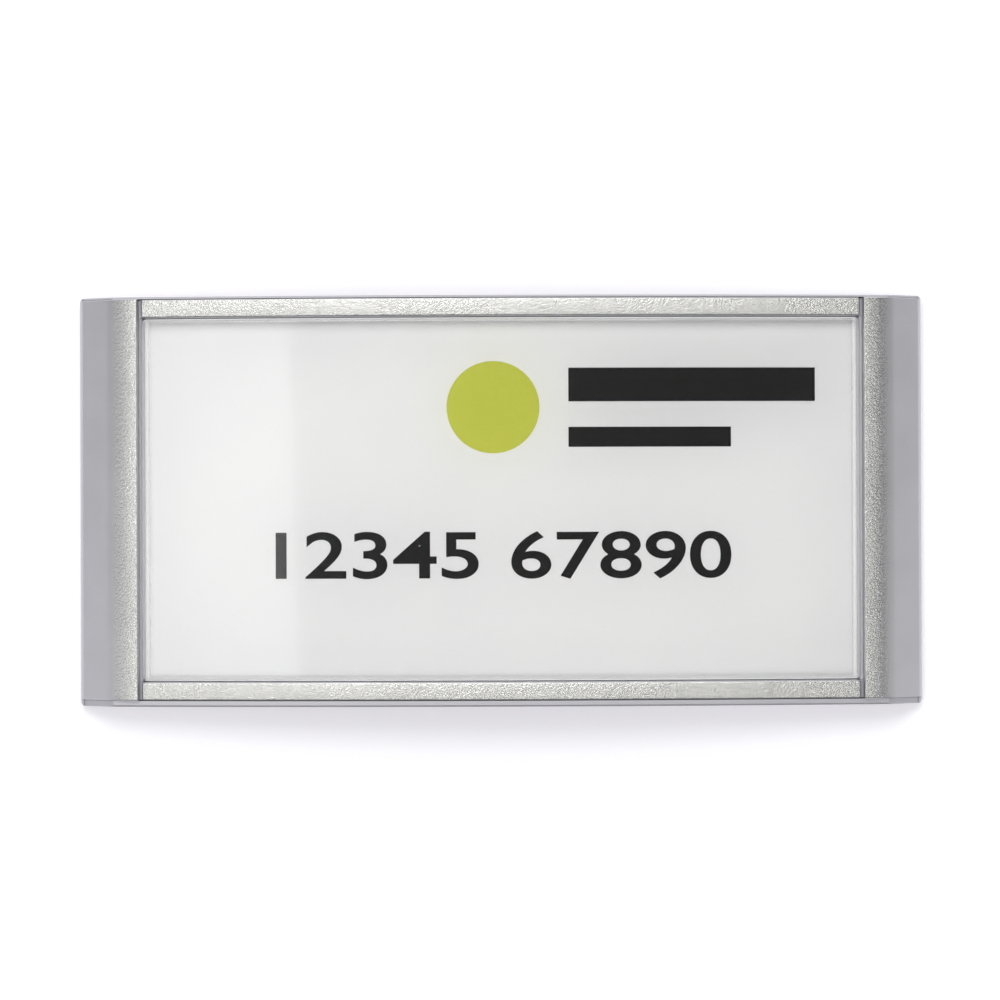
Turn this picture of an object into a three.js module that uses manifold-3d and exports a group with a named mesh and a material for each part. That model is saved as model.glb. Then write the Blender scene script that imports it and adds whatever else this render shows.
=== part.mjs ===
// Slim name badge, lying face up: +X is its width, +Y its upper edge as it is read, +Z its face.
// Millimetres. Every long piece is drawn straight, with s along the width, y across it and z up
// from the back of the badge, and is then bent with the others to one shallow arch.
import * as THREE from "three";
import { mergeVertices } from "three/addons/utils/BufferGeometryUtils.js";
import Module from "manifold-3d";

const wasm = await Module();
wasm.setup();

// Driving dimensions

const badgeWidth = 68;
const badgeHeight = 32.9;
const archRise = 3;

const plateThickness = 0.6;
const bedThickness = 1.1;
const topWall = 0.14;
const bottomWall = 0.44;
const bevelWidth = 0.13;
const bevelDrop = 0.11;
const backEdgeRadius = 0.25;

const railRise = 2.9;
const railWidth = 1.48;
const endGap = 0.22;
const shoulderDrop = 0.1;

const capWidth = 5.3;
const capProud = 0.45;
const capEdgeHeight = 0.52;
const crestRadius = 0.08;
const rollWidth = 2.56;
const outerRadius = 0.9;
const cornerRadius = 0.4;
const flangeThickness = 0.4;
const footRadius = 0.1;
const ledgeDrop = 0.45;
const ledgeFall = 0.14;

const windowRecess = 0.2;
const windowThickness = 0.7;
const windowEdgeRadius = 0.3;
const windowSideGap = 0.12;
const skirtThickness = 0.4;

const paperThickness = 0.2;
const paperSideGap = 0.1;

const magnetLength = 45;
const magnetWidth = 13;
const magnetEdge = 0.3;
const floorClearance = 0.3;

const edgeRadius = 0.15;
const sharpEdge = 0.04;
const fitGap = 0.06;

// Fineness of the facets

const archStep = 2;
const cornerSteps = 3;
const rollSteps = 8;
const magnetArcSteps = 16;
const halvings = 40;
const weldDistance = 1e-5;

// Sizes that follow

// The space between the two walls has its own middle, as the walls differ.
const halfHeight = badgeHeight / 2;
const innerHalf = (badgeHeight - topWall - bottomWall) / 2 - fitGap;
const middle = (bottomWall - topWall) / 2;
const seat = bedThickness + fitGap;
const capSeat = plateThickness + fitGap;
const railInner = innerHalf - railWidth;

// The cap's upper outline, t being measured outwards from its inner wall: a crest fillet, a
// rolled-off arc, a straight flank and an outer fillet that ends upright at t = capWidth, at the
// height of the outer edge. The flank has the slope that joins them.
const capCrest = railRise + capProud;
const flankStart = crestRadius + rollWidth;
const flankAngle = slopeWhere((angle) => {
  const straight = capWidth - outerRadius - flankStart;
  return rollWidth * Math.tan(angle / 2) + straight * Math.tan(angle)
    + outerRadius / Math.cos(angle);
}, capCrest - capEdgeHeight);
const rollRadius = rollWidth / Math.sin(flankAngle);
const flankTop = capCrest - rollRadius * (1 - Math.cos(flankAngle));
const outerCentre = capWidth - outerRadius;
const flankEnd = outerCentre + outerRadius * Math.sin(flankAngle);

// The arch: its back has this radius, and it ends where the outer faces are badgeWidth apart.
const archRadius = ((badgeWidth / 2) ** 2 + archRise ** 2) / (2 * archRise);
const halfAngle = Math.asin(badgeWidth / 2 / (archRadius + capEdgeHeight));
const halfLength = archRadius * halfAngle;
const archBase = archRadius * Math.cos(halfAngle);

const capInner = halfLength - capWidth;
const shellHalf = halfLength - flangeThickness - fitGap;
const railHalf = capInner - endGap;
const windowHalf = railHalf;
const windowHalfHeight = railInner - windowSideGap;
const windowTop = railRise - windowRecess;
const paperHalf = windowHalf;
const paperHalfHeight = railInner - paperSideGap;
const paperTop = seat + paperThickness;
const skirtFoot = paperTop + fitGap;

// The slope, by halving, at which a drop that grows with the slope has the size wanted.
function slopeWhere(drop, wanted) {
  let [low, high] = [0, Math.PI / 2];
  for (let i = 0; i < halvings; i += 1) {
    const guess = (low + high) / 2;
    [low, high] = drop(guess) < wanted ? [guess, high] : [low, guess];
  }
  return low;
}

function capTop(t) {
  if (t < crestRadius) {
    return capCrest - crestRadius + Math.sqrt(crestRadius ** 2 - (crestRadius - t) ** 2);
  }
  if (t < flankStart) {
    return capCrest - rollRadius + Math.sqrt(rollRadius ** 2 - (t - crestRadius) ** 2);
  }
  if (t < flankEnd) {
    return flankTop - (t - flankStart) * Math.tan(flankAngle);
  }
  return capEdgeHeight + Math.sqrt(Math.max(0, outerRadius ** 2 - (t - outerCentre) ** 2));
}

// The channel's side walls stay just below what lies between them.
function wallTop(s) {
  const t = Math.abs(s) - capInner;
  const front = t > 0 ? Math.min(railRise, capTop(t)) : railRise;
  return front - shoulderDrop;
}

// How far a round of this radius draws a face in, at a distance from the end of the piece.
function roundInset(distance, radius) {
  if (distance >= radius) {
    return 0;
  }
  return radius - Math.sqrt(Math.max(0, radius ** 2 - (radius - distance) ** 2));
}

// Distances from an end at which a round of this radius gets a section.
function roundStations(radius, steps = cornerSteps) {
  const stations = [];
  for (let i = 0; i <= steps; i += 1) {
    stations.push(radius * (1 - Math.cos((Math.PI / 2) * (i / steps))));
  }
  return stations;
}

// Places between two ends, no further apart than archStep.
function evenStations(from, to, step = archStep) {
  const count = Math.max(1, Math.ceil((to - from) / step));
  return Array.from({ length: count + 1 }, (_, i) => from + ((to - from) * i) / count);
}

// Sections are outlines of [y, z] points, counter-clockwise as seen from +X.
function arc(y, z, radius, startAngle) {
  const points = [];
  for (let i = 0; i <= cornerSteps; i += 1) {
    const angle = startAngle + (Math.PI / 2) * (i / cornerSteps);
    points.push([y + radius * Math.cos(angle), z + radius * Math.sin(angle)]);
  }
  return points;
}

function roundedBox(y0, y1, z0, z1, topRadius, bottomRadius) {
  return [
    ...arc(y1 - bottomRadius, z0 + bottomRadius, bottomRadius, -Math.PI / 2),
    ...arc(y1 - topRadius, z1 - topRadius, topRadius, 0),
    ...arc(y0 + topRadius, z1 - topRadius, topRadius, Math.PI / 2),
    ...arc(y0 + bottomRadius, z0 + bottomRadius, bottomRadius, Math.PI),
  ];
}

// The channel: the upper wall is the thinner one, and each wall's top is bevelled outwards.
function channelSection(half, top, floor) {
  return [
    ...arc(half - backEdgeRadius, backEdgeRadius, backEdgeRadius, -Math.PI / 2),
    [half, top - bevelDrop],
    [half - bevelWidth, top],
    [half - topWall, top],
    [half - topWall, floor],
    [bottomWall - half, floor],
    [bottomWall - half, top],
    [bevelWidth - half, top],
    [-half, top - bevelDrop],
    ...arc(backEdgeRadius - half, backEdgeRadius, backEdgeRadius, Math.PI),
  ];
}

// Joins sections at rising places along the width into one closed body, bent to the arch.
function loft(sections) {
  const size = sections[0].outline.length;
  const positions = sections.flatMap(({ s, outline }) => outline.flatMap(([y, z]) => bend(s, y, z)));
  const triangles = [];
  for (let i = 0; i + 1 < sections.length; i += 1) {
    for (let j = 0; j < size; j += 1) {
      const next = (j + 1) % size;
      const [a, b] = [i * size + j, i * size + next];
      triangles.push([a, b, b + size], [a, b + size, a + size]);
    }
  }
  triangles.push(...endFace(sections[0].outline, 0).map(([a, b, c]) => [a, c, b]));
  triangles.push(...endFace(sections.at(-1).outline, (sections.length - 1) * size));
  return closedGeometry(positions, triangles);
}

function endFace(outline, offset) {
  const contour = outline.map(([y, z]) => new THREE.Vector2(y, z));
  return THREE.ShapeUtils.triangulateShape(contour, []).map((face) => face.map((k) => k + offset));
}

function bend(s, y, z) {
  const angle = s / archRadius;
  const radius = archRadius + z;
  return [radius * Math.sin(angle), y, radius * Math.cos(angle) - archBase];
}

// Shares the corners that coincide and drops the triangles that this leaves without an area.
function closedGeometry(positions, triangles) {
  const geometry = new THREE.BufferGeometry();
  geometry.setAttribute("position", new THREE.Float32BufferAttribute(positions, 3));
  geometry.setIndex(triangles.flat());
  const merged = mergeVertices(geometry, weldDistance);
  const index = merged.getIndex().array;
  const kept = [];
  for (let i = 0; i < index.length; i += 3) {
    const [a, b, c] = [index[i], index[i + 1], index[i + 2]];
    if (a !== b && b !== c && c !== a) {
      kept.push(a, b, c);
    }
  }
  merged.setIndex(kept);
  merged.computeVertexNormals();
  return merged;
}

function toManifold(geometry) {
  const vertProperties = Float32Array.from(geometry.getAttribute("position").array);
  const triVerts = Uint32Array.from(geometry.getIndex().array);
  return new wasm.Manifold(new wasm.Mesh({ numProp: 3, vertProperties, triVerts }));
}

function fromManifold(solid) {
  const mesh = solid.getMesh();
  const triangles = Array.from({ length: mesh.numTri }, (_, i) =>
    Array.from(mesh.triVerts.slice(3 * i, 3 * i + 3)));
  return closedGeometry(Array.from(mesh.vertProperties), triangles);
}

// A straight strip whose four upper edges and four upright corners are rounded.
function strip({ half, y0, y1, z0, z1, radius }) {
  const ends = roundStations(radius);
  const between = evenStations(radius - half, half - radius).slice(1, -1);
  const places = [...ends.map((d) => d - half), ...between, ...ends.map((d) => half - d).reverse()];
  return loft(places.map((s) => {
    const inset = roundInset(half - Math.abs(s), radius);
    const outline = roundedBox(y0 + inset, y1 - inset, z0, z1 - inset, radius, sharpEdge);
    return { s, outline };
  }));
}

// The plate is thicker between the caps, where it is the bed of the rails and the card.
function backShellGeometry() {
  const beyond = capStations().map((t) => capInner + t).filter((s) => s > capInner && s < shellHalf);
  const right = [windowHalf + sharpEdge, ...beyond, shellHalf];
  const left = right.map((s) => -s).reverse();
  const places = [...left, ...evenStations(-windowHalf, windowHalf), ...right];
  return loft(places.map((s) => {
    const floor = Math.abs(s) > windowHalf ? plateThickness : bedThickness;
    return { s, outline: channelSection(halfHeight, wallTop(s), floor) };
  }));
}

function railGeometry(side) {
  const [near, far] = [middle + side * railInner, middle + side * innerHalf];
  const [y0, y1] = [Math.min(near, far), Math.max(near, far)];
  return strip({ half: railHalf, y0, y1, z0: seat, z1: railRise, radius: edgeRadius });
}

// Places across the cap, from its inner wall to its outer face.
function capStations() {
  const crest = roundStations(crestRadius);
  const roll = Array.from({ length: rollSteps }, (_, i) => {
    const angle = (flankAngle * (i + 1)) / rollSteps;
    return crestRadius + rollRadius * Math.sin(angle);
  });
  const turn = Math.PI / 2 - flankAngle;
  const outer = Array.from({ length: rollSteps + 1 }, (_, i) => {
    const angle = flankAngle + (turn * i) / rollSteps;
    return outerCentre + outerRadius * Math.sin(angle);
  });
  return [...crest, ...roll, ...outer];
}

// The cap's inner part lies in the channel, and its flange closes the channel's end, at full
// height. A low ledge before its inner wall, which falls towards the window, is the floor of the
// groove at the window's end.
function capGeometry(side) {
  const step = capWidth - flangeThickness;
  const inner = capStations().filter((t) => t < step);
  const outer = capStations().filter((t) => t > step);
  const ledgeHalf = innerHalf - 2 * sharpEdge;
  const [low, high] = [middle - ledgeHalf, middle + ledgeHalf];
  const ledgeSection = (fall) => {
    const top = railRise - ledgeDrop - fall;
    return roundedBox(low, high, capSeat + sharpEdge, top, sharpEdge, sharpEdge);
  };
  const innerSection = (t) => {
    const half = innerHalf - roundInset(t, sharpEdge);
    return roundedBox(middle - half, middle + half, capSeat, capTop(t), edgeRadius, sharpEdge);
  };
  const flangeSection = (t) => {
    const half = halfHeight - roundInset(capWidth - t, cornerRadius);
    const foot = roundInset(capWidth - t, footRadius);
    const shoulder = Math.min(bevelWidth, capTop(t) - foot - footRadius - sharpEdge);
    return roundedBox(-half, half, foot, capTop(t), shoulder, footRadius);
  };
  const sections = [
    { t: fitGap - endGap, outline: ledgeSection(ledgeFall) },
    { t: 0, outline: ledgeSection(0) },
    ...inner.map((t) => ({ t, outline: innerSection(t) })),
    { t: step, outline: innerSection(step) },
    { t: step, outline: flangeSection(step) },
    ...outer.map((t) => ({ t, outline: flangeSection(t) })),
  ];
  const placed = sections.map(({ t, outline }) => ({ s: side * (capInner + t), outline }));
  return loft(side > 0 ? placed : placed.reverse());
}

// A lid: its pane lies over the card, and its skirt stands on the card's rim all round.
function windowGeometry() {
  const [half, halfY] = [windowHalf, windowHalfHeight];
  const [y0, y1] = [middle - halfY, middle + halfY];
  const outside = strip({ half, y0, y1, z0: skirtFoot, z1: windowTop, radius: windowEdgeRadius });
  const hollowHalf = half - skirtThickness;
  const [low, high] = [y0 + skirtThickness, y1 - skirtThickness];
  const ceiling = windowTop - windowThickness;
  const hollow = loft(evenStations(-hollowHalf, hollowHalf).map((s) => ({
    s, outline: roundedBox(low, high, paperTop, ceiling, sharpEdge, sharpEdge),
  })));
  return fromManifold(toManifold(outside).subtract(toManifold(hollow)));
}

function paperGeometry() {
  const [low, high] = [middle - paperHalfHeight, middle + paperHalfHeight];
  return loft(evenStations(-paperHalf, paperHalf).map((s) => ({
    s, outline: roundedBox(low, high, seat, paperTop, sharpEdge, sharpEdge),
  })));
}

// One plain block: a flat underside just clear of the floor, and a top that fits the arched back.
function magnetGeometry() {
  const half = magnetLength / 2;
  const backRadius = archRadius - fitGap;
  const halfTurn = Math.asin(half / backRadius);
  const endThickness = backRadius * Math.cos(halfTurn) - archBase - floorClearance;
  const edge = Math.min(magnetEdge, endThickness / 4);
  const shape = new THREE.Shape();
  shape.moveTo(-half, floorClearance);
  shape.lineTo(half, floorClearance);
  shape.absarc(0, -archBase, backRadius, Math.PI / 2 - halfTurn, Math.PI / 2 + halfTurn, false);
  const geometry = new THREE.ExtrudeGeometry(shape, {
    depth: magnetWidth - 2 * edge,
    curveSegments: magnetArcSteps,
    bevelEnabled: true,
    bevelSize: edge,
    bevelThickness: edge,
    bevelOffset: -edge,
    bevelSegments: cornerSteps,
  });
  geometry.rotateX(Math.PI / 2);
  geometry.translate(0, magnetWidth / 2 - edge, 0);
  return geometry;
}

const badge = new THREE.Group();

function add(name, geometry, color, roughness, metalness) {
  const material = new THREE.MeshStandardMaterial({ color, roughness, metalness });
  const mesh = new THREE.Mesh(geometry, material);
  mesh.name = name;
  badge.add(mesh);
  return mesh;
}

const silver = [0xc4c4c2, 0.42, 0.85];

add("back_shell", backShellGeometry(), ...silver);
add("top_rail", railGeometry(1), ...silver);
add("bottom_rail", railGeometry(-1), ...silver);
add("left_end_cap", capGeometry(-1), ...silver);
add("right_end_cap", capGeometry(1), ...silver);
add("paper_insert", paperGeometry(), 0xefefee, 0.85, 0);
add("magnet_bar", magnetGeometry(), 0x2b2c2e, 0.55, 0);

const lid = add("window", windowGeometry(), 0xf5f7f7, 0.06, 0);
lid.material.transparent = true;
lid.material.opacity = 0.35;

export default badge;
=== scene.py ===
import math

import bmesh
import bpy
import numpy as np
from mathutils import Matrix, Vector


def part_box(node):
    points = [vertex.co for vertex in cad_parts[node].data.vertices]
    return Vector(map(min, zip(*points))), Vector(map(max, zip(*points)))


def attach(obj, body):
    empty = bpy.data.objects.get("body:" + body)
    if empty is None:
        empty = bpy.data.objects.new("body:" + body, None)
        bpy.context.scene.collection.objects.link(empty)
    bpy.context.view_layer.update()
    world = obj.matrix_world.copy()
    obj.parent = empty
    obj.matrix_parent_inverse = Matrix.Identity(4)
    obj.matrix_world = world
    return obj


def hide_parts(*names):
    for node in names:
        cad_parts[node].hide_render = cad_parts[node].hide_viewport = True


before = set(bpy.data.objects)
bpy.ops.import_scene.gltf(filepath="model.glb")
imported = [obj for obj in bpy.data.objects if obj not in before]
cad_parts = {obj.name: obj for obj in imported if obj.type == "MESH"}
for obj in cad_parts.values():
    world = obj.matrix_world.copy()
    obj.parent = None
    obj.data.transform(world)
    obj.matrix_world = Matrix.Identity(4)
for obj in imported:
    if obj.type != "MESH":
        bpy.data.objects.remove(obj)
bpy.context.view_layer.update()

MM = 0.001

# Driving dimensions, in millimetres, as the solids have them

BADGE_WIDTH = 68.0
BADGE_HEIGHT = (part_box("back_shell")[1].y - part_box("back_shell")[0].y) / MM
ARCH_RISE = 3.0

PLATE_THICKNESS = 0.6
BED_THICKNESS = 1.1
TOP_WALL = 0.14
BOTTOM_WALL = 0.44
BEVEL_WIDTH = 0.13
BEVEL_DROP = 0.11
BACK_EDGE_RADIUS = 0.25

RAIL_RISE = 2.9
RAIL_WIDTH = 1.48
END_GAP = 0.22
SHOULDER_DROP = 0.1

CAP_WIDTH = 5.3
CAP_PROUD = 0.45
CAP_EDGE_HEIGHT = 0.52
CREST_RADIUS = 0.08
ROLL_WIDTH = 2.56
OUTER_RADIUS = 0.9
CORNER_RADIUS = 0.4
FLANGE_THICKNESS = 0.4
FOOT_RADIUS = 0.1
LEDGE_DROP = 0.45
LEDGE_FALL = 0.14

WINDOW_RECESS = 0.2
WINDOW_THICKNESS = 0.7
WINDOW_EDGE_RADIUS = 0.3
WINDOW_SIDE_GAP = 0.12
SKIRT_THICKNESS = 0.4

PAPER_THICKNESS = 0.2
PAPER_SIDE_GAP = 0.1

MAGNET_LENGTH = 45.0
MAGNET_WIDTH = 13.0
MAGNET_EDGE = 0.3
FLOOR_CLEARANCE = 0.3

EDGE_RADIUS = 0.15
SHARP_EDGE = 0.04
FIT_GAP = 0.06

# Finer than the solids: the visible seams, the rails' slightly domed faces, and the share of a
# wall's top that its bevel may take where the wall runs out at the badge's corners.

SEAM = 0.03
CAP_SEAM = 0.005
RAIL_CROWN = 0.018
BEVEL_SHARE = 0.8

# Fineness of the meshes: a step in millimetres, counts, welds in metres and an angle in degrees

ARCH_STEP = 0.5
CORNER_STEPS = 6
ROLL_STEPS = 18
HALVINGS = 40
WELD = 1e-6
INK_WELD = 1e-8
SMOOTH_ANGLE = 35.0
LARGE_FACE_WEIGHT = 60

# Sizes that follow

half_height = BADGE_HEIGHT / 2
inner_half = (BADGE_HEIGHT - TOP_WALL - BOTTOM_WALL) / 2 - FIT_GAP
middle = (BOTTOM_WALL - TOP_WALL) / 2
seat = BED_THICKNESS + FIT_GAP
cap_seat = PLATE_THICKNESS + FIT_GAP
rail_inner = inner_half - RAIL_WIDTH


def slope_where(drop, wanted):
    """The slope, by halving, at which a drop that grows with the slope has the size wanted."""
    low, high = 0.0, math.pi / 2
    for _ in range(HALVINGS):
        guess = (low + high) / 2
        low, high = (guess, high) if drop(guess) < wanted else (low, guess)
    return low


cap_crest = RAIL_RISE + CAP_PROUD
flank_start = CREST_RADIUS + ROLL_WIDTH
flank_angle = slope_where(
    lambda a: ROLL_WIDTH * math.tan(a / 2)
    + (CAP_WIDTH - OUTER_RADIUS - flank_start) * math.tan(a)
    + OUTER_RADIUS / math.cos(a),
    cap_crest - CAP_EDGE_HEIGHT,
)
roll_radius = ROLL_WIDTH / math.sin(flank_angle)
flank_top = cap_crest - roll_radius * (1 - math.cos(flank_angle))
outer_centre = CAP_WIDTH - OUTER_RADIUS
flank_end = outer_centre + OUTER_RADIUS * math.sin(flank_angle)

arch_radius = ((BADGE_WIDTH / 2) ** 2 + ARCH_RISE**2) / (2 * ARCH_RISE)
half_angle = math.asin(BADGE_WIDTH / 2 / (arch_radius + CAP_EDGE_HEIGHT))
half_length = arch_radius * half_angle
arch_base = arch_radius * math.cos(half_angle)

cap_inner = half_length - CAP_WIDTH
shell_half = half_length - FLANGE_THICKNESS - CAP_SEAM
rail_half = cap_inner - END_GAP
window_half = rail_half
window_half_height = rail_inner - WINDOW_SIDE_GAP
window_top = RAIL_RISE - WINDOW_RECESS
window_ceiling = window_top - WINDOW_THICKNESS
hollow_half = window_half - SKIRT_THICKNESS
hollow_half_height = window_half_height - SKIRT_THICKNESS
paper_half = window_half
paper_half_height = rail_inner - PAPER_SIDE_GAP
paper_top = seat + PAPER_THICKNESS
skirt_foot = paper_top + FIT_GAP


# Shapes. A section is an outline of (y, z) points, counter-clockwise as seen from +X, at a place
# s along the width. Every piece but the magnet block is drawn straight and then bent to the arch.


def bend(s, y, z):
    angle = s / arch_radius
    radius = arch_radius + z
    return radius * math.sin(angle), y, radius * math.cos(angle) - arch_base


def unbend(point):
    """The place (s, y, z), in millimetres, of a point of the bent badge, in metres."""
    x, y, z = (c / MM for c in point)
    radius = math.hypot(x, z + arch_base)
    return arch_radius * math.atan2(x, z + arch_base), y, radius - arch_radius


def cap_top(t):
    """Height of the cap's upper outline at a distance t outwards from its inner wall."""
    if t < CREST_RADIUS:
        return cap_crest - CREST_RADIUS + math.sqrt(CREST_RADIUS**2 - (CREST_RADIUS - t) ** 2)
    if t < flank_start:
        return cap_crest - roll_radius + math.sqrt(roll_radius**2 - (t - CREST_RADIUS) ** 2)
    if t < flank_end:
        return flank_top - (t - flank_start) * math.tan(flank_angle)
    return CAP_EDGE_HEIGHT + math.sqrt(max(0.0, OUTER_RADIUS**2 - (t - outer_centre) ** 2))


def wall_top(s):
    """The channel's side walls stay just below what lies between them."""
    t = abs(s) - cap_inner
    front = min(RAIL_RISE, cap_top(t)) if t > 0 else RAIL_RISE
    return front - SHOULDER_DROP


def round_inset(distance, radius):
    """How far a round of this radius draws a face in, at a distance from the piece's end."""
    if distance >= radius:
        return 0.0
    return radius - math.sqrt(max(0.0, radius**2 - (radius - distance) ** 2))


def round_stations(radius):
    """Places in a round at a piece's end, close together where it is steep."""
    return [
        radius * (1 - math.cos(math.pi / 2 * i / CORNER_STEPS)) for i in range(CORNER_STEPS + 1)
    ]


def even_stations(start, end):
    count = max(1, math.ceil((end - start) / ARCH_STEP))
    return [start + (end - start) * i / count for i in range(count + 1)]


def strip_stations(half, radius):
    """Places along a piece from -half to half, with a round at both ends."""
    ends = round_stations(radius)
    between = even_stations(radius - half, half - radius)[1:-1]
    return [*[d - half for d in ends], *between, *[half - d for d in reversed(ends)]]


def arc(y, z, radius, start_angle):
    """A quarter of a circle, counter-clockwise."""
    angles = [start_angle + math.pi / 2 * i / CORNER_STEPS for i in range(CORNER_STEPS + 1)]
    return [(y + radius * math.cos(a), z + radius * math.sin(a)) for a in angles]


def rounded_box(y0, y1, z0, z1, top_radius, bottom_radius):
    return [
        *arc(y1 - bottom_radius, z0 + bottom_radius, bottom_radius, -math.pi / 2),
        *arc(y1 - top_radius, z1 - top_radius, top_radius, 0.0),
        *arc(y0 + top_radius, z1 - top_radius, top_radius, math.pi / 2),
        *arc(y0 + bottom_radius, z0 + bottom_radius, bottom_radius, math.pi),
    ]


def channel_section(half, top, floor):
    """Plate and two walls, each wall's top being bevelled outwards."""
    upper, lower = middle + inner_half + SEAM, middle - inner_half - SEAM
    return [
        *arc(half - BACK_EDGE_RADIUS, BACK_EDGE_RADIUS, BACK_EDGE_RADIUS, -math.pi / 2),
        (half, top - BEVEL_DROP),
        (half - BEVEL_WIDTH, top),
        (upper, top),
        (upper, floor),
        (lower, floor),
        (lower, top),
        (BEVEL_WIDTH - half, top),
        (-half, top - BEVEL_DROP),
        *arc(BACK_EDGE_RADIUS - half, BACK_EDGE_RADIUS, BACK_EDGE_RADIUS, math.pi),
    ]


def cap_stations():
    """Places across the cap, from its inner wall to its outer face."""
    roll = [
        CREST_RADIUS + roll_radius * math.sin(flank_angle * (i + 1) / ROLL_STEPS)
        for i in range(ROLL_STEPS)
    ]
    turn = math.pi / 2 - flank_angle
    outer = [
        outer_centre + OUTER_RADIUS * math.sin(flank_angle + turn * i / ROLL_STEPS)
        for i in range(ROLL_STEPS + 1)
    ]
    return [*round_stations(CREST_RADIUS), *roll, *outer]


def loft(sections):
    """Vertices and faces of one closed body through the sections, bent to the arch."""
    size = len(sections[0][1])
    vertices = [bend(s, y, z) for s, outline in sections for y, z in outline]
    faces = []
    for i in range(len(sections) - 1):
        for j in range(size):
            a, b = i * size + j, i * size + (j + 1) % size
            faces.append((a, b, b + size, a + size))
    last = (len(sections) - 1) * size
    faces.append(tuple(range(size - 1, -1, -1)))
    faces.append(tuple(range(last, last + size)))
    return vertices, faces


def joined(*lofts):
    """Several lofts as the vertices and faces of one mesh."""
    vertices, faces = [], []
    for more, more_faces in lofts:
        faces += [tuple(k + len(vertices) for k in face) for face in more_faces]
        vertices += more
    return vertices, faces


def mesh_from(name, vertices, faces, weld=WELD):
    """A mesh in metres from points in millimetres, its coincident corners shared."""
    mesh = bpy.data.meshes.new(name)
    mesh.from_pydata([tuple(MM * c for c in v) for v in vertices], [], faces)
    work = bmesh.new()
    work.from_mesh(mesh)
    bmesh.ops.remove_doubles(work, verts=work.verts, dist=weld)
    bmesh.ops.recalc_face_normals(work, faces=work.faces)
    work.to_mesh(mesh)
    work.free()
    return mesh


def piece(name, mesh, material, replaces=()):
    """An object for the mesh, riding with the badge, with soft shading except at sharp edges."""
    mesh.materials.append(material)
    mesh.polygons.foreach_set("use_smooth", [True] * len(mesh.polygons))
    mesh.set_sharp_from_angle(angle=math.radians(SMOOTH_ANGLE))
    obj = bpy.data.objects.new(name, mesh)
    bpy.context.scene.collection.objects.link(obj)
    weighted = obj.modifiers.new("even_normals", "WEIGHTED_NORMAL")
    weighted.keep_sharp = True
    weighted.weight = LARGE_FACE_WEIGHT
    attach(obj, "root")
    if replaces:
        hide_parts(*replaces)


def domed(outline, crown):
    """The outline with its flat top, between the two rounds, made a shallow dome."""
    first, last = 2 * CORNER_STEPS + 1, 2 * CORNER_STEPS + 2
    (y1, z1), (y0, _) = outline[first], outline[last]
    dome = []
    for i in range(1, 2 * CORNER_STEPS):
        across = i / CORNER_STEPS - 1
        dome.append((y1 + (y0 - y1) * (across + 1) / 2, z1 + crown * (1 - across**2)))
    return [*outline[:last], *dome, *outline[last:]]


def strip_sections(half, y0, y1, z0, z1, radius, crown=0.0):
    """A straight strip whose four upper edges and four upright corners are rounded."""
    sections = []
    for s in strip_stations(half, radius):
        inset = round_inset(half - abs(s), radius)
        top = z1 - crown - inset
        outline = rounded_box(y0 + inset, y1 - inset, z0, top, radius, SHARP_EDGE)
        sections.append((s, domed(outline, crown)))
    return sections


def slab_sections(half, across, z0, z1):
    """A straight slab of half this length and half this height, its long edges barely rounded."""
    outline = rounded_box(middle - across, middle + across, z0, z1, SHARP_EDGE, SHARP_EDGE)
    return [(s, outline) for s in even_stations(-half, half)]


def shell_sections():
    """The plate is thicker between the caps, where it is the bed of the rails and the card."""
    between = even_stations(-window_half, window_half)
    beyond = [cap_inner + t for t in cap_stations() if 0 < t < shell_half - cap_inner]
    right = [window_half + SHARP_EDGE, *beyond, shell_half]
    left = [-s for s in reversed(right)]
    sections = []
    for s in (*left, *between, *right):
        floor = PLATE_THICKNESS if abs(s) > window_half else BED_THICKNESS
        sections.append((s, channel_section(half_height, wall_top(s), floor)))
    return sections


def plan_half(t):
    """Half the badge's height at a distance t from a cap's inner wall: its corners are round."""
    return half_height - round_inset(CAP_WIDTH - t, CORNER_RADIUS)


def cap_sections(side):
    """A cap's own sections, and those of its ledge, which floors the groove beside the window."""
    step = CAP_WIDTH - FLANGE_THICKNESS
    full = inner_half + SEAM - CAP_SEAM
    low, high = middle - full + 2 * SHARP_EDGE, middle + full - 2 * SHARP_EDGE

    def ledge(fall):
        top, foot = RAIL_RISE - LEDGE_DROP, cap_seat + SHARP_EDGE
        return [
            (low, foot), (high, foot), (high, top), (middle + rail_inner, top),
            (middle + rail_inner - SHARP_EDGE, top - fall),
            (middle - rail_inner + SHARP_EDGE, top - fall), (middle - rail_inner, top), (low, top),
        ]

    def body(t, foot):
        half = full - round_inset(t, SHARP_EDGE)
        y0, y1 = max(middle - half, -plan_half(t)), min(middle + half, plan_half(t))
        return rounded_box(y0, y1, foot, cap_top(t), EDGE_RADIUS, SHARP_EDGE)

    inner = [(t, body(t, cap_seat)) for t in (*cap_stations(), step) if t <= step]
    outer = [(t, body(t, round_inset(CAP_WIDTH - t, FOOT_RADIUS)))
             for t in (step, *cap_stations()) if t >= step]
    ledges = [(SEAM - END_GAP, ledge(LEDGE_FALL)), (SHARP_EDGE, ledge(0.0))]

    def placed(sections):
        at = [(side * (cap_inner + t), outline) for t, outline in sections]
        return at if side > 0 else at[::-1]

    return placed([*inner, *outer]), placed(ledges)


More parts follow.
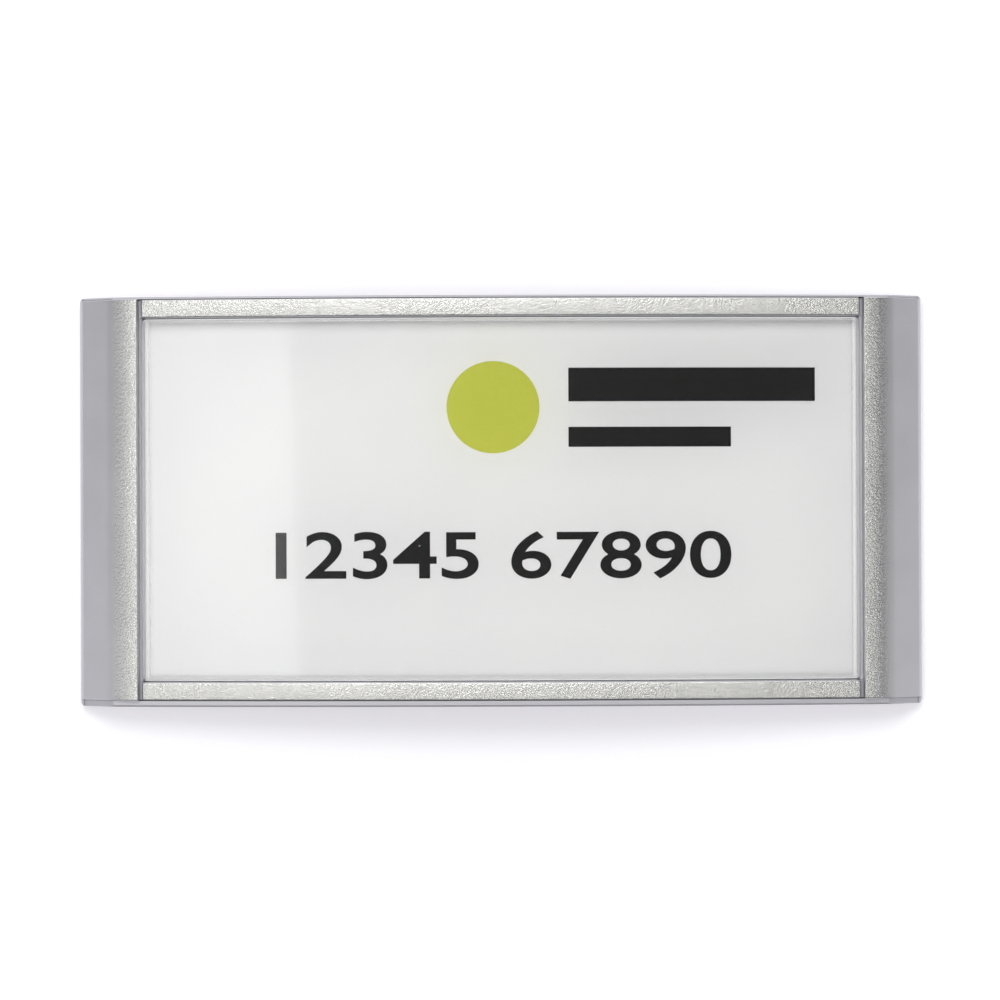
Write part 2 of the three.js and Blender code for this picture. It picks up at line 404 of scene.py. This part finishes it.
def wall_end_sections(side, edge):
    """The part of a wall beside a cap's outer end, which turns the badge's corner."""
    inside = abs(middle + edge * (inner_half + SEAM))
    start = CAP_WIDTH - FLANGE_THICKNESS - CAP_SEAM
    sections = []
    for t in (start, *cap_stations()):
        thickness = plan_half(t) - inside
        if t < start or thickness < SEAM:
            continue
        top, bevel = cap_top(t) - SHOULDER_DROP / 2, min(BEVEL_WIDTH, BEVEL_SHARE * thickness)
        points = [
            (inside, FOOT_RADIUS), (inside + thickness, FOOT_RADIUS),
            (inside + thickness, top - BEVEL_DROP), (inside + thickness - bevel, top),
            (inside, top),
        ]
        sections.append((side * (cap_inner + t), [(edge * y, z) for y, z in points]))
    return sections


# Materials, the sizes of their patterns in millimetres


def new_material(name):
    material = bpy.data.materials.new(name)
    material.use_nodes = True
    tree = material.node_tree
    return material, tree, tree.nodes["Principled BSDF"]


def add(tree, kind, inputs=None, **settings):
    """A node with its settings and its inputs: a socket is linked, anything else is a value."""
    made = tree.nodes.new(kind)
    for key, value in settings.items():
        setattr(made, key, value)
    for key, value in (inputs or {}).items():
        if isinstance(value, bpy.types.NodeSocket):
            tree.links.new(value, made.inputs[key])
        else:
            made.inputs[key].default_value = value
    return made


def object_place(tree):
    return add(tree, "ShaderNodeTexCoord").outputs["Object"]


def noise(tree, place, size, detail=2.0, roughness=0.5):
    """Noise whose blobs are about size millimetres across."""
    node = add(
        tree, "ShaderNodeTexNoise",
        {"Vector": place, "Scale": 1 / (size * MM), "Detail": detail, "Roughness": roughness},
    )
    return node.outputs["Fac"]


def spread(tree, value, low, high, start=0.3, end=0.7):
    """The value, taken from start..end to low..high."""
    node = add(
        tree, "ShaderNodeMapRange",
        {"Value": value, "From Min": start, "From Max": end, "To Min": low, "To Max": high},
    )
    return node.outputs["Result"]


def blend(tree, factor, first, second):
    """The colour at this share of the way from the first to the second."""
    node = add(tree, "ShaderNodeMix", {"Factor": factor, "A": first, "B": second},
               data_type="RGBA")
    return node.outputs["Result"]


def bump(tree, height, depth):
    """A bump whose relief is depth millimetres."""
    inputs = {"Height": height, "Strength": 1.0, "Distance": depth * MM}
    return add(tree, "ShaderNodeBump", inputs).outputs["Normal"]


GRAIN_SIZE = 0.18
GRAIN_DEPTH = 0.055
FLAKE_SIZE = 0.1
FLAKE_DEPTH = 0.4 * GRAIN_DEPTH
FLAKE_ROUGHNESS = (0.15, 0.28)
CLOUD_SIZE = 4.0
CLOUD_TONES = (0.97, 1.03)
CLOUD_ROUGHNESS = (0.95, 1.05)
# Painted shade: the flanks' base colour is darker and bluer than that of the faces that look up,
# standing in for the dimmer surroundings the flanks mirror.
SHADED_FLANK_TONE = (0.514, 0.512, 0.54, 1)
LIT_FACE_TONE = (0.56, 0.56, 0.539, 1)
# The upward part of the surface's direction at which the grain and the lit face tone start and at
# which they are full, and the share of its relief that the flanks keep.
GRAIN_START, GRAIN_FULL = 0.80, 0.985
GRAIN_LEFT = 0.05


def silver_material(name, side_roughness, grain_share):
    """Lacquer whose grain sparkles on the faces that look up and fades out on the flanks, where its
    colour turns to a darker, bluer painted shade.
    """
    material, tree, shader = new_material(name)
    coordinates = add(tree, "ShaderNodeTexCoord")
    place = coordinates.outputs["Object"]
    slope = add(tree, "ShaderNodeSeparateXYZ", {"Vector": coordinates.outputs["Normal"]})
    upward = spread(tree, slope.outputs["Z"], 0.0, grain_share, GRAIN_START, GRAIN_FULL)
    grain = noise(tree, place, GRAIN_SIZE, detail=3.0, roughness=0.6)
    flakes = noise(tree, place, FLAKE_SIZE, detail=1.0)
    clouds = noise(tree, place, CLOUD_SIZE)
    cloud = spread(tree, clouds, *CLOUD_TONES)
    soft = spread(tree, clouds, *(share * side_roughness for share in CLOUD_ROUGHNESS))
    # Painted shade by slope: the shaded flank tone where the surface turns away from the vertical.
    tone = blend(tree, upward, SHADED_FLANK_TONE, LIT_FACE_TONE)
    clouded = add(tree, "ShaderNodeVectorMath", {0: tone, "Scale": cloud}, operation="SCALE")
    tree.links.new(clouded.outputs["Vector"], shader.inputs["Base Color"])
    rough = add(tree, "ShaderNodeMix",
                {"Factor": upward, "A": soft, "B": spread(tree, flakes, *FLAKE_ROUGHNESS)})
    tree.links.new(rough.outputs["Result"], shader.inputs["Roughness"])
    relief = add(tree, "ShaderNodeMath", {0: upward, 1: 1 - GRAIN_LEFT, 2: GRAIN_LEFT},
                 operation="MULTIPLY_ADD")
    fine = add(tree, "ShaderNodeBump",
               {"Height": flakes, "Strength": relief.outputs["Value"],
                "Distance": FLAKE_DEPTH * MM})
    coarse = add(tree, "ShaderNodeBump",
                 {"Height": grain, "Strength": relief.outputs["Value"],
                  "Distance": GRAIN_DEPTH * MM, "Normal": fine.outputs["Normal"]})
    tree.links.new(coarse.outputs["Normal"], shader.inputs["Normal"])
    shader.inputs["Metallic"].default_value = 1.0
    return material


CARD_TONES = ((0.965, 0.965, 0.965, 1), (0.985, 0.985, 0.98, 1))
CARD_CLOUD_SIZE = 9.0
CARD_ROUGHNESS = (0.78, 0.9)
CARD_GLOSS = 0.3
FIBRE_SIZE = 0.18
FIBRE_DEPTH = 0.004


def paper_material():
    material, tree, shader = new_material("insert_card")
    place = object_place(tree)
    fibre = noise(tree, place, FIBRE_SIZE, detail=4.0, roughness=0.65)
    cloud = noise(tree, place, CARD_CLOUD_SIZE)
    tone = blend(tree, spread(tree, cloud, 0.0, 1.0), *CARD_TONES)
    tree.links.new(tone, shader.inputs["Base Color"])
    tree.links.new(spread(tree, fibre, *CARD_ROUGHNESS), shader.inputs["Roughness"])
    tree.links.new(bump(tree, fibre, FIBRE_DEPTH), shader.inputs["Normal"])
    shader.inputs["Specular IOR Level"].default_value = CARD_GLOSS
    return material


BLACK_TONES = ((0.002, 0.002, 0.002, 1), (0.007, 0.007, 0.007, 1))
LIME_TONES = ((0.58, 0.62, 0.05, 1), (0.66, 0.70, 0.09, 1))
SPECKLE_SIZE = 0.12
SPECKLE_DEPTH = 0.002


def ink_material(name, tones, roughness, gloss):
    material, tree, shader = new_material(name)
    place = object_place(tree)
    speckle = noise(tree, place, SPECKLE_SIZE, detail=3.0, roughness=0.7)
    tone = blend(tree, spread(tree, speckle, 0.0, 1.0), *tones)
    tree.links.new(tone, shader.inputs["Base Color"])
    rough = spread(tree, speckle, roughness - 0.05, roughness + 0.1)
    tree.links.new(rough, shader.inputs["Roughness"])
    tree.links.new(bump(tree, speckle, SPECKLE_DEPTH), shader.inputs["Normal"])
    shader.inputs["Specular IOR Level"].default_value = gloss
    return material


WHITE = (1, 1, 1, 1)
WINDOW_IOR = 1.49
WINDOW_ROUGHNESS = 0.06
SWIRL_SIZE = 12.0
SWIRL_DEPTH = 0.01
CLEAR_TONE = (0.998, 0.998, 0.998, 1)
MILK_TONE = (0.93, 0.93, 0.935, 1)
MILK_ROUGHNESS = (0.25, 0.4)


def window_material(name, milkiness=0.0, share=None, painted_glow=0.0):
    """Clear plastic as a film: what is behind it shows through, and it mirrors a fixed share or,
    without one, by its slope. Its edges can be milky, and a painted glow, which is painted light
    with no lamp behind it, makes them shine."""
    material = bpy.data.materials.new(name)
    material.use_nodes = True
    tree = material.node_tree
    tree.nodes.clear()
    place = object_place(tree)
    swirl = noise(tree, place, SWIRL_SIZE, detail=1.0)
    relief = bump(tree, swirl, SWIRL_DEPTH)
    mirror = add(
        tree, "ShaderNodeBsdfGlossy",
        {"Color": WHITE, "Roughness": WINDOW_ROUGHNESS, "Normal": relief},
    )
    clear = add(tree, "ShaderNodeBsdfTransparent", {"Color": CLEAR_TONE})
    if share is None:
        by_slope = add(tree, "ShaderNodeFresnel", {"IOR": WINDOW_IOR, "Normal": relief})
        share = by_slope.outputs["Fac"]
    pane = add(
        tree, "ShaderNodeMixShader",
        {"Fac": share, 1: clear.outputs["BSDF"], 2: mirror.outputs["BSDF"]},
    )
    # Painted light: the milky part glows by the painted glow it is given, a brightness no lamp
    # makes.
    milk = add(
        tree, "ShaderNodeBsdfPrincipled",
        {"Base Color": MILK_TONE, "Roughness": spread(tree, swirl, *MILK_ROUGHNESS),
         "Emission Color": WHITE, "Emission Strength": painted_glow},
    )
    through = add(tree, "ShaderNodeBsdfTranslucent", {"Color": MILK_TONE})
    haze = add(
        tree, "ShaderNodeMixShader",
        {"Fac": 0.5, 1: milk.outputs["BSDF"], 2: through.outputs["BSDF"]},
    )
    both = add(
        tree, "ShaderNodeMixShader",
        {"Fac": milkiness, 1: pane.outputs["Shader"], 2: haze.outputs["Shader"]},
    )
    output = add(tree, "ShaderNodeOutputMaterial")
    tree.links.new(both.outputs["Shader"], output.inputs["Surface"])
    return material


CASING_TONES = ((0.018, 0.019, 0.02, 1), (0.03, 0.031, 0.033, 1))
CASING_ROUGHNESS = (0.45, 0.62)
CASING_GRAIN_SIZE = 0.25
CASING_GRAIN_DEPTH = 0.01
SCUFF_SIZE = 3.0


def magnet_material():
    material, tree, shader = new_material("magnet_casing")
    place = object_place(tree)
    grain = noise(tree, place, CASING_GRAIN_SIZE, detail=3.0)
    scuffs = noise(tree, place, SCUFF_SIZE, detail=4.0, roughness=0.7)
    tone = blend(tree, spread(tree, scuffs, 0.0, 1.0), *CASING_TONES)
    tree.links.new(tone, shader.inputs["Base Color"])
    tree.links.new(spread(tree, scuffs, *CASING_ROUGHNESS), shader.inputs["Roughness"])
    tree.links.new(bump(tree, grain, CASING_GRAIN_DEPTH), shader.inputs["Normal"])
    return material


# The badge's pieces


def build_frame(silver, smooth_silver):
    """The shell, the two rails, and the two caps with their smooth ledges."""
    corners = [loft(wall_end_sections(side, edge)) for side in (-1, 1) for edge in (-1, 1)]
    shell = joined(loft(shell_sections()), *corners)
    piece("shell", mesh_from("shell", *shell), smooth_silver, ["back_shell"])
    for side, name in ((1, "top_rail"), (-1, "bottom_rail")):
        y0, y1 = sorted((middle + side * rail_inner, middle + side * inner_half))
        sections = strip_sections(rail_half, y0, y1, seat, RAIL_RISE, EDGE_RADIUS, RAIL_CROWN)
        mesh = mesh_from(name + "_fine", *loft(sections))
        piece(name + "_fine", mesh, silver, [name])
    for side, name in ((-1, "left_end_cap"), (1, "right_end_cap")):
        body, ledge = cap_sections(side)
        mesh = mesh_from(name + "_fine", *joined(loft(body), loft(ledge)))
        piece(name + "_fine", mesh, silver, [name])
        mesh.materials.append(smooth_silver)
        for polygon in mesh.polygons:
            s, _, _ = unbend(polygon.center)
            polygon.material_index = int(abs(s) < cap_inner - SHARP_EDGE)


# The lid's materials, by their places in its mesh, and how far the milky rim and its edge reach,
# as shares of the round along the rails. The edge glows as a painted highlight, and the skirt at
# the lid's ends glows as painted light.
PANE, INSIDE, RIM, PAINTED_HIGHLIGHT_EDGE, PAINTED_GLOW_SKIRT = range(5)
RIM_SHARE = 0.75
PAINTED_HIGHLIGHT_SHARE = 0.12


def lid_part(s, y, z):
    """Which of the lid's materials a face with this centre has."""
    from_end, from_side = window_half - abs(s), window_half_height - abs(y - middle)
    if z < window_top - WINDOW_EDGE_RADIUS:
        # Faces of the skirt by the lid's ends take the painted glow.
        return PAINTED_GLOW_SKIRT if SHARP_EDGE < from_end < SKIRT_THICKNESS + SHARP_EDGE else INSIDE
    # The outermost faces along the rails take the painted highlight.
    if from_side < WINDOW_EDGE_RADIUS * PAINTED_HIGHLIGHT_SHARE:
        return PAINTED_HIGHLIGHT_EDGE
    if from_end < WINDOW_EDGE_RADIUS or from_side < WINDOW_EDGE_RADIUS * RIM_SHARE:
        return RIM
    return PANE


def build_window(pane, inside, rim, edge, painted_glow_skirt):
    """The lid as one closed wall: a rounded block with the hollow over the card cut out."""
    outside = strip_sections(
        window_half, middle - window_half_height, middle + window_half_height,
        skirt_foot, window_top, WINDOW_EDGE_RADIUS,
    )
    hollow = slab_sections(hollow_half, hollow_half_height, paper_top, window_ceiling)
    block_mesh = mesh_from("window_outside", *loft(outside))
    hollow_mesh = mesh_from("window_hollow", *loft(hollow))
    body = bpy.data.objects.new("window_body", block_mesh)
    cutter = bpy.data.objects.new("window_cutter", hollow_mesh)
    for obj in (body, cutter):
        bpy.context.scene.collection.objects.link(obj)
    cut = body.modifiers.new("hollow", "BOOLEAN")
    cut.operation = "DIFFERENCE"
    cut.solver = "EXACT"
    cut.object = cutter
    graph = bpy.context.evaluated_depsgraph_get()
    mesh = bpy.data.meshes.new_from_object(body.evaluated_get(graph))
    mesh.name = "window_lid"
    for obj in (body, cutter):
        bpy.data.objects.remove(obj)
    mesh.materials.clear()
    piece("window_lid", mesh, pane, ["window"])
    for material in (inside, rim, edge, painted_glow_skirt):
        mesh.materials.append(material)
    for polygon in mesh.polygons:
        polygon.material_index = lid_part(*unbend(polygon.center))


def build_paper(material):
    sections = slab_sections(paper_half, paper_half_height, seat, paper_top)
    piece("card", mesh_from("card", *loft(sections)), material, ["paper_insert"])


# The print, its sizes and places in millimetres and its weight in the font's own units

INK_THICKNESS = 0.01
INK_LIFT = 0.012


def ink_piece(name, vertices, faces, material):
    """A flat printed shape, drawn in (s, y) millimetres, laid on the bent card."""
    count = len(vertices)
    low, high = paper_top + INK_LIFT, paper_top + INK_LIFT + INK_THICKNESS
    points = [bend(s, y, high) for s, y in vertices] + [bend(s, y, low) for s, y in vertices]
    bodies = [tuple(f) for f in faces] + [tuple(count + k for k in reversed(f)) for f in faces]
    edges = dict.fromkeys(pair for face in faces for pair in zip(face, (*face[1:], face[0])))
    for a, b in edges:
        if (b, a) not in edges:
            bodies.append((b, a, count + a, count + b))
    mesh = mesh_from(name, points, bodies, weld=INK_WELD)
    piece(name, mesh, material)


DIGITS = "12345 67890"
DIGIT_HEIGHT = 3.84
DIGIT_LEFT = -18.0
DIGIT_RIGHT = 18.4
DIGIT_BASE = -6.28
DIGIT_WEIGHT = 0.012
DIGIT_STEPS = 8


def build_digits(material):
    """A line of plain digits, stretched to its printed size."""
    curve = bpy.data.curves.new("digits", "FONT")
    curve.body = DIGITS
    curve.offset = DIGIT_WEIGHT
    curve.resolution_u = DIGIT_STEPS
    writer = bpy.data.objects.new("digits_source", curve)
    bpy.context.scene.collection.objects.link(writer)
    graph = bpy.context.evaluated_depsgraph_get()
    flat = bpy.data.meshes.new_from_object(writer.evaluated_get(graph))
    bpy.data.objects.remove(writer)
    points = np.array([v.co[:2] for v in flat.vertices])
    low, high = points.min(0), points.max(0)
    scale = np.array([DIGIT_RIGHT - DIGIT_LEFT, DIGIT_HEIGHT]) / (high - low)
    points = (points - low) * scale + (DIGIT_LEFT, DIGIT_BASE)
    faces = []
    for polygon in flat.polygons:
        corners = list(polygon.vertices)
        faces.append(corners if polygon.normal.z > 0 else corners[::-1])
    bpy.data.meshes.remove(flat)
    ink_piece("printed_digits", [tuple(p) for p in points], faces, material)


DISC_CENTRE = (-0.6, 7.5)
DISC_RADIUS = 3.7
DISC_STEPS = 64
BAR_LEFT = 5.4
# Each bar's name, right end, centre line and height
BARS = (("upper", 25.2, 9.3, 2.7), ("lower", 18.4, 5.1, 1.6))


def build_motif(dark, lime):
    """A plain disc and two plain bars."""
    x, y = DISC_CENTRE
    rim = [
        (x + DISC_RADIUS * math.cos(a), y + DISC_RADIUS * math.sin(a))
        for a in (2 * math.pi * i / DISC_STEPS for i in range(DISC_STEPS))
    ]
    faces = [(DISC_STEPS, i, (i + 1) % DISC_STEPS) for i in range(DISC_STEPS)]
    ink_piece("printed_disc", [*rim, (x, y)], faces, lime)
    for name, right, centre, height in BARS:
        steps = even_stations(BAR_LEFT, right)
        low = [(s, centre - height / 2) for s in steps]
        high = [(s, centre + height / 2) for s in steps]
        count = len(steps)
        faces = [(i, i + 1, count + i + 1, count + i) for i in range(count - 1)]
        ink_piece(f"printed_bar_{name}", [*low, *high], faces, dark)


def build_magnet(material):
    """One plain block: a flat underside just clear of the floor, a top that fits the back."""
    half = MAGNET_LENGTH / 2
    half_width = MAGNET_WIDTH / 2
    back_radius = arch_radius - FIT_GAP
    sections = []
    for x in strip_stations(half, MAGNET_EDGE):
        inset = round_inset(half - abs(x), MAGNET_EDGE)
        top = math.sqrt(back_radius**2 - x**2) - arch_base - inset
        low = FLOOR_CLEARANCE + inset
        width = half_width - inset
        sections.append((x, rounded_box(-width, width, low, top, MAGNET_EDGE, MAGNET_EDGE)))
    vertices = [(x, y, z) for x, outline in sections for y, z in outline]
    _, faces = loft(sections)
    mesh = mesh_from("magnet_block", vertices, faces)
    piece("magnet_block", mesh, material, ["magnet_bar"])


# The studio, its sizes and places in metres, its angles in degrees, its patterns in millimetres


FLOOR_HALF = 3.0
FLOOR_TONE = (0.92, 0.92, 0.925, 1)
FLOOR_GLOW = (0.257, 0.247, 0.272, 1)
FLOOR_ROUGHNESS = (0.85, 0.95)
FLOOR_GLOSS = 0.2
FLOOR_CLOUD_SIZE = 20.0


def build_floor():
    """The floor, which glows a little so that it stays nearly white."""
    material, tree, shader = new_material("floor")
    clouds = noise(tree, object_place(tree), FLOOR_CLOUD_SIZE)
    shader.inputs["Base Color"].default_value = FLOOR_TONE
    tree.links.new(spread(tree, clouds, *FLOOR_ROUGHNESS), shader.inputs["Roughness"])
    shader.inputs["Specular IOR Level"].default_value = FLOOR_GLOSS
    shader.inputs["Emission Color"].default_value = FLOOR_GLOW
    shader.inputs["Emission Strength"].default_value = 1.0
    mesh = bpy.data.meshes.new("floor")
    signs = ((-1, -1), (1, -1), (1, 1), (-1, 1))
    corners = [(x * FLOOR_HALF, y * FLOOR_HALF, 0) for x, y in signs]
    mesh.from_pydata(corners, [], [(0, 1, 2, 3)])
    mesh.materials.append(material)
    floor = bpy.data.objects.new("floor", mesh)
    bpy.context.scene.collection.objects.link(floor)


def toward(x_angle, y_angle):
    """Unit direction that leans from the vertical by these angles toward +X and +Y."""
    x, y = math.tan(math.radians(x_angle)), math.tan(math.radians(y_angle))
    return Vector((x, y, 1)).normalized()


def area_light(name, place, width, height, radiance, behind=None, turn=0.0):
    """A rectangular light that faces the badge, or away from the direction behind it."""
    light = bpy.data.lights.new(name, "AREA")
    light.shape = "RECTANGLE"
    light.size = width
    light.size_y = height
    light.energy = radiance * math.pi * width * height
    obj = bpy.data.objects.new(name, light)
    back = Vector(behind or place).normalized()
    right = (Vector((1, 0, 0)) - back * back.x).normalized()
    axes = Matrix((right, back.cross(right), back)).transposed().to_4x4()
    spin = Matrix.Rotation(math.radians(turn), 4, "Z")
    obj.matrix_world = Matrix.Translation(place) @ axes @ spin
    bpy.context.scene.collection.objects.link(obj)


KEY_LEAN = (-3.7, 26.0)
KEY_DISTANCE = 0.6
KEY_WIDTH = 0.29
KEY_HEIGHT = 0.22
KEY_RADIANCE = 4.55
LEFT_BOX_PLACE = Vector((-0.3215, 0.1, 0.8))
LEFT_BOX_WIDTH = 0.247
LEFT_BOX_HEIGHT = 0.9
LEFT_BOX_RADIANCE = 1.15
LEFT_BOX_TURN = 5.3


def build_lights():
    """The key from beyond the top edge, and a box on the left that the window mirrors."""
    area_light("key", toward(*KEY_LEAN) * KEY_DISTANCE, KEY_WIDTH, KEY_HEIGHT, KEY_RADIANCE)
    area_light("left_box", LEFT_BOX_PLACE, LEFT_BOX_WIDTH, LEFT_BOX_HEIGHT, LEFT_BOX_RADIANCE,
               behind=(0, 0, 1), turn=LEFT_BOX_TURN)


# Brightness of the surroundings by lean from the vertical, in degrees: toward +X, then toward +Y.
SIDE_TONES = (
    (-90, 0.57), (-60, 0.59), (-50, 0.66), (-40, 0.72), (-30, 0.79), (-18, 0.86), (0, 0.98),
    (8, 0.88), (14, 0.65), (20, 0.28), (23, 0.30), (25.5, 2.1), (31.5, 2.1), (34.5, 0.28),
    (45, 0.18), (56, 0.36), (70, 0.52), (90, 0.58),
)
DEPTH_TONES = (
    (-90, 0.2), (-45, 0.28), (-22, 0.8), (-9, 2.2), (0, 1.1), (10, 0.5), (25, 0.5), (40, 1.0),
    (60, 1.3), (90, 1.2),
)
# How far the dark space overhead, where the camera is, covers them, by the same two leans.
SIDE_DARK = ((-90, 0.0), (-32, 0.0), (-22, 1.0), (23, 1.0), (26, 0.0), (90, 0.0))
DEPTH_DARK = ((-90, 0.0), (-9, 0.0), (-5, 1.0), (6, 1.0), (10, 0.0), (90, 0.0))
DARK_TONE = (0.02, 0.02, 0.02, 1)
WORLD_STRENGTH = 1.06


def ramp(tree, value, tones):
    """Brightness by the sine of the lean, which is the value."""
    node = add(tree, "ShaderNodeValToRGB", {"Fac": spread(tree, value, 0.0, 1.0, -1.0, 1.0)})
    stops = node.color_ramp.elements
    while len(stops) < len(tones):
        stops.new(0.5)
    for stop, (angle, tone) in zip(stops, tones):
        stop.position = (math.sin(math.radians(angle)) + 1) / 2
        stop.color = (tone, tone, tone, 1)
    return node.outputs["Color"]


def build_world():
    """Light by its direction, over a backdrop that the camera sees white."""
    world = bpy.data.worlds.new("studio")
    world.use_nodes = True
    bpy.context.scene.world = world
    tree = world.node_tree
    tree.nodes.clear()
    direction = add(tree, "ShaderNodeTexCoord").outputs["Generated"]
    axes = add(tree, "ShaderNodeSeparateXYZ", {"Vector": direction})
    across = ramp(tree, axes.outputs["X"], SIDE_TONES)
    depth = ramp(tree, axes.outputs["Y"], DEPTH_TONES)
    open_sky = add(tree, "ShaderNodeMix", {"Factor": 1.0, "A": across, "B": depth},
                   data_type="RGBA", blend_type="MULTIPLY")
    dark = add(
        tree, "ShaderNodeMath",
        {0: ramp(tree, axes.outputs["X"], SIDE_DARK), 1: ramp(tree, axes.outputs["Y"], DEPTH_DARK)},
        operation="MULTIPLY",
    )
    tone = blend(tree, dark.outputs["Value"], open_sky.outputs["Result"], DARK_TONE)
    seen = add(tree, "ShaderNodeLightPath").outputs["Is Camera Ray"]
    shown = blend(tree, seen, tone, WHITE)
    background = add(tree, "ShaderNodeBackground", {"Color": shown, "Strength": WORLD_STRENGTH})
    output = add(tree, "ShaderNodeOutputWorld")
    tree.links.new(background.outputs["Background"], output.inputs["Surface"])


# The camera, its lengths in millimetres, its angles in degrees and its clipping in metres
CAMERA_DISTANCE = 380.0
CAMERA_ELEVATION = 89.8
CAMERA_ROLL = -0.2
FRAME_WIDTH = 80.9
AIM = Vector((-0.07, 0.07, 0.8))
SENSOR = 36.0
CLIP_START, CLIP_END = 0.01, 100


def build_camera():
    data = bpy.data.cameras.new("camera")
    data.sensor_width = SENSOR
    data.lens = SENSOR * CAMERA_DISTANCE / FRAME_WIDTH
    data.clip_start = CLIP_START
    data.clip_end = CLIP_END
    camera = bpy.data.objects.new("camera", data)
    lean = math.radians(90 - CAMERA_ELEVATION)
    back = Vector((0, -math.sin(lean), math.cos(lean)))
    up = Vector((0, math.cos(lean), math.sin(lean)))
    right = up.cross(back)
    turn = Matrix((right, up, back)).transposed().to_4x4()
    roll = Matrix.Rotation(math.radians(CAMERA_ROLL), 4, "Z")
    camera.matrix_world = Matrix.Translation(MM * (AIM + back * CAMERA_DISTANCE)) @ turn @ roll
    bpy.context.scene.collection.objects.link(camera)
    bpy.context.scene.camera = camera


bpy.context.scene.view_settings.view_transform = "Standard"

build_camera()
build_world()
build_floor()
build_lights()

# The smooth silver keeps the flanks' darker, bluer painted-shade tone all over.
build_frame(
    silver_material("silver_lacquer", side_roughness=0.32, grain_share=1.0),
    silver_material("silver_smooth", side_roughness=0.5, grain_share=0.0),
)
build_paper(paper_material())
black_ink = ink_material("black_ink", BLACK_TONES, roughness=0.4, gloss=0.25)
lime_ink = ink_material("lime_ink", LIME_TONES, roughness=0.6, gloss=0.5)
build_digits(black_ink)
build_motif(black_ink, lime_ink)
build_window(
    pane=window_material("clear_pane"),
    inside=window_material("clear_inside", milkiness=0.004, share=0.03),
    rim=window_material("clear_rim", milkiness=0.5),
    # Painted highlight: the outermost faces along the rails glow.
    edge=window_material("clear_edge_painted_highlight", milkiness=0.65, painted_glow=2.0),
    # Painted light: the skirt at the lid's ends glows a little.
    painted_glow_skirt=window_material("clear_skirt_painted_glow", milkiness=0.3, share=0.03, painted_glow=0.9),
)
build_magnet(magnet_material())
